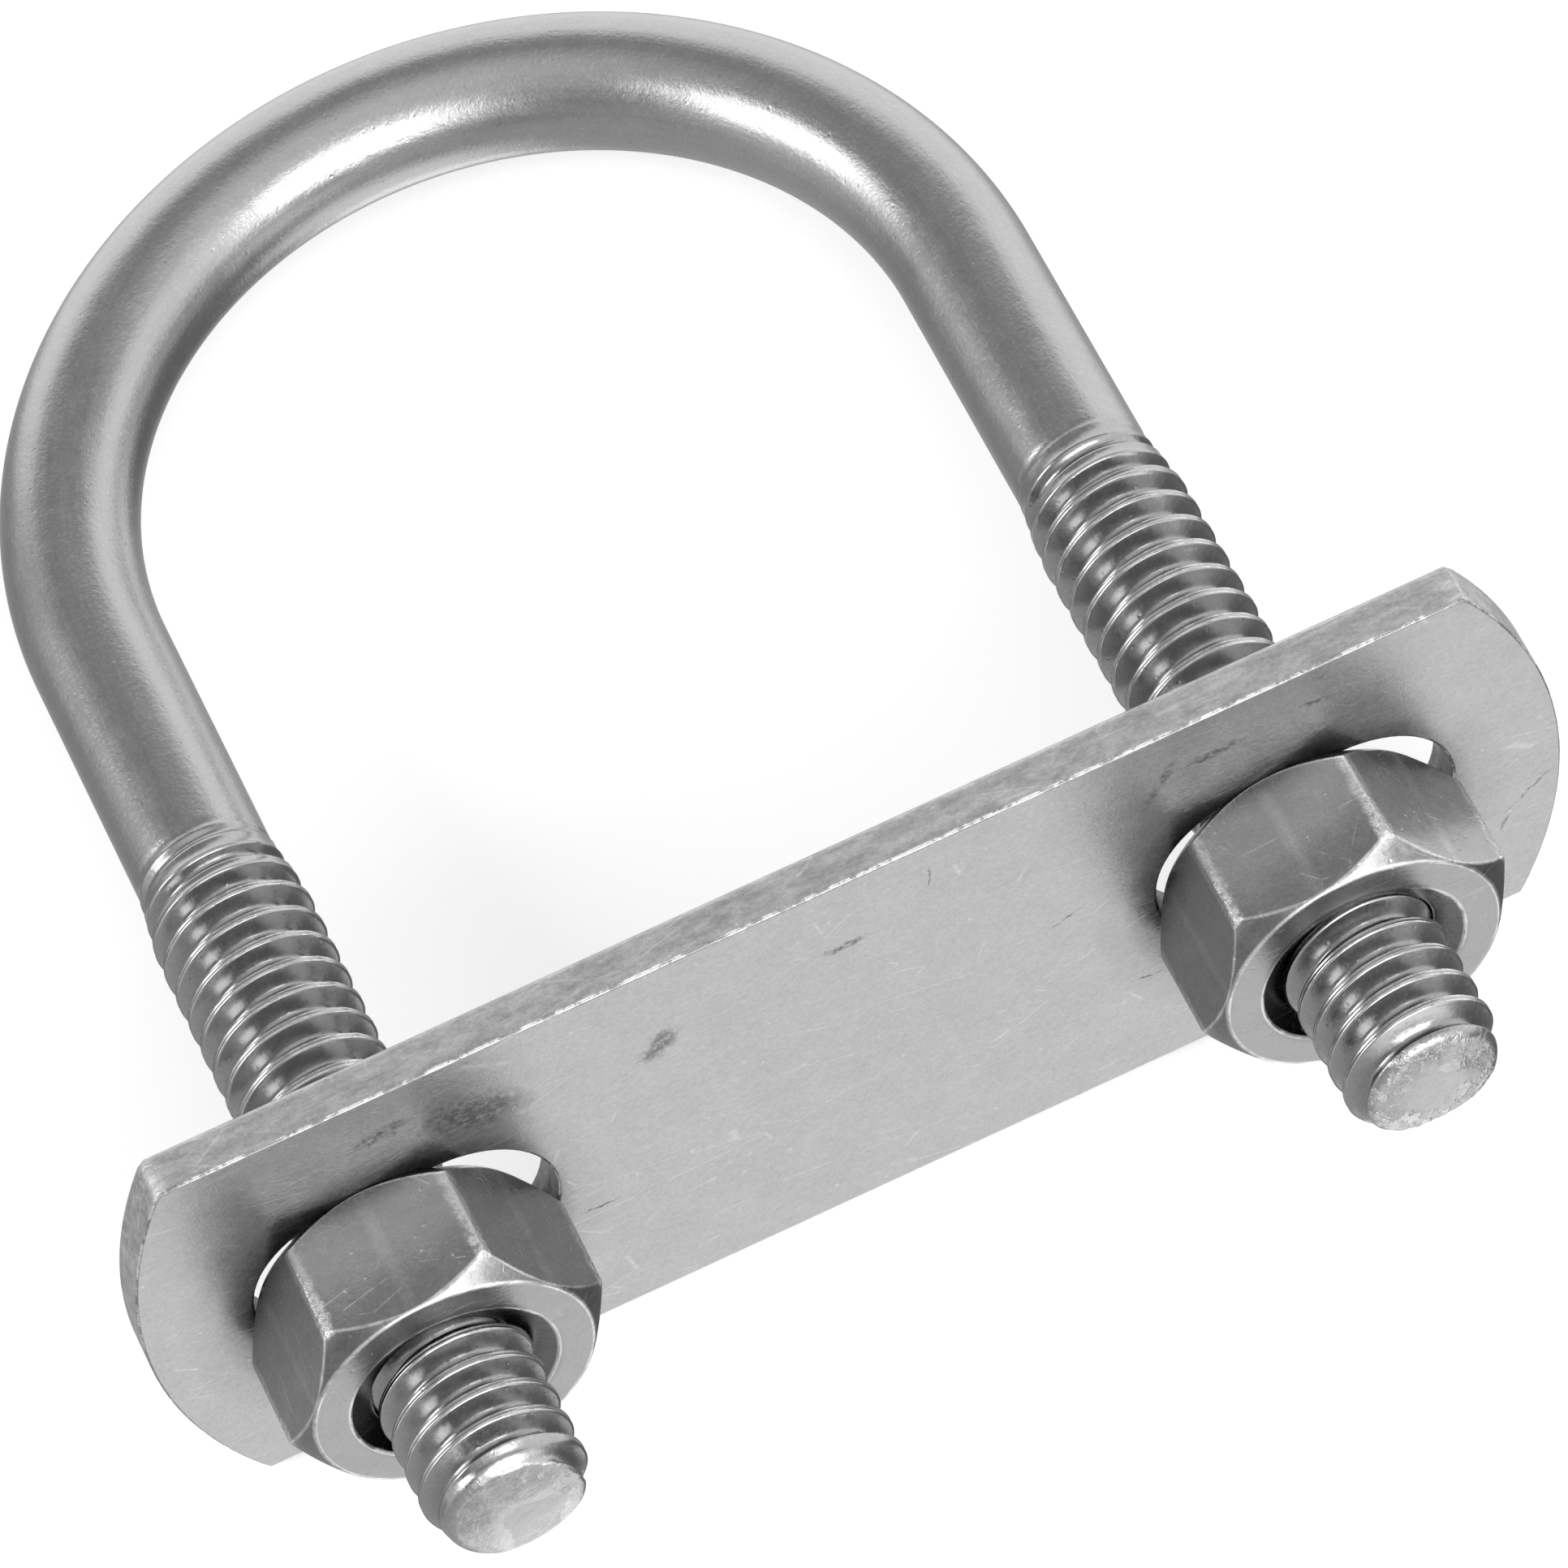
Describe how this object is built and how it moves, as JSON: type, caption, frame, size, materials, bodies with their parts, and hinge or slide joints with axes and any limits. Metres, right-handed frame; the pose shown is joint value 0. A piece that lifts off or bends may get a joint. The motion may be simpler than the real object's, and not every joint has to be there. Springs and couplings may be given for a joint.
{
  "type": "U-bolt with clamp plate",
  "caption": "Round-bow U-bolt with rolled-thread legs, a slotted clamp plate with curved ends, and hex nuts.",
  "frame": {"origin": "centre of the bow's half circle, on the plane of the U's centre line", "axes": "+X from leg to leg (from the left leg to the right), +Y along the legs toward the crown of the bow, +Z out of the plane of the U"},
  "size_m": [0.0565, 0.0629, 0.0195],
  "materials": {
    "rod_steel": "satin",
    "plate_steel": "satin",
    "nut_steel": "satin"
  },
  "bodies": {
    "u_bolt": {"u_bolt": "rod_steel"},
    "plate": {"plate": "plate_steel"},
    "nut_left": {"nut_left": "nut_steel"},
    "nut_right": {"nut_right": "nut_steel"}
  },
  "joints": [
    {"name": "plate_travel", "type": "slide", "parent": "u_bolt", "child": "plate", "axis": [0, 1, 0], "range_m": [-0.0061, 0.01816]},
    {"name": "nut_left_spin", "type": "hinge", "parent": "plate", "child": "nut_left", "pos_m": [-0.0181, -0.0332, 0], "axis": [0, 1, 0], "range_deg": [-1730, 5149]},
    {"name": "nut_right_spin", "type": "hinge", "parent": "plate", "child": "nut_right", "pos_m": [0.0181, -0.0332, 0], "axis": [0, 1, 0], "range_deg": [-1730, 5149]}
  ],
  "couplings": [
    {"joint": "nut_left_spin", "follows": "plate_travel", "rad_per_m": 4947.4},
    {"joint": "nut_right_spin", "follows": "plate_travel", "rad_per_m": 4947.4}
  ]
}
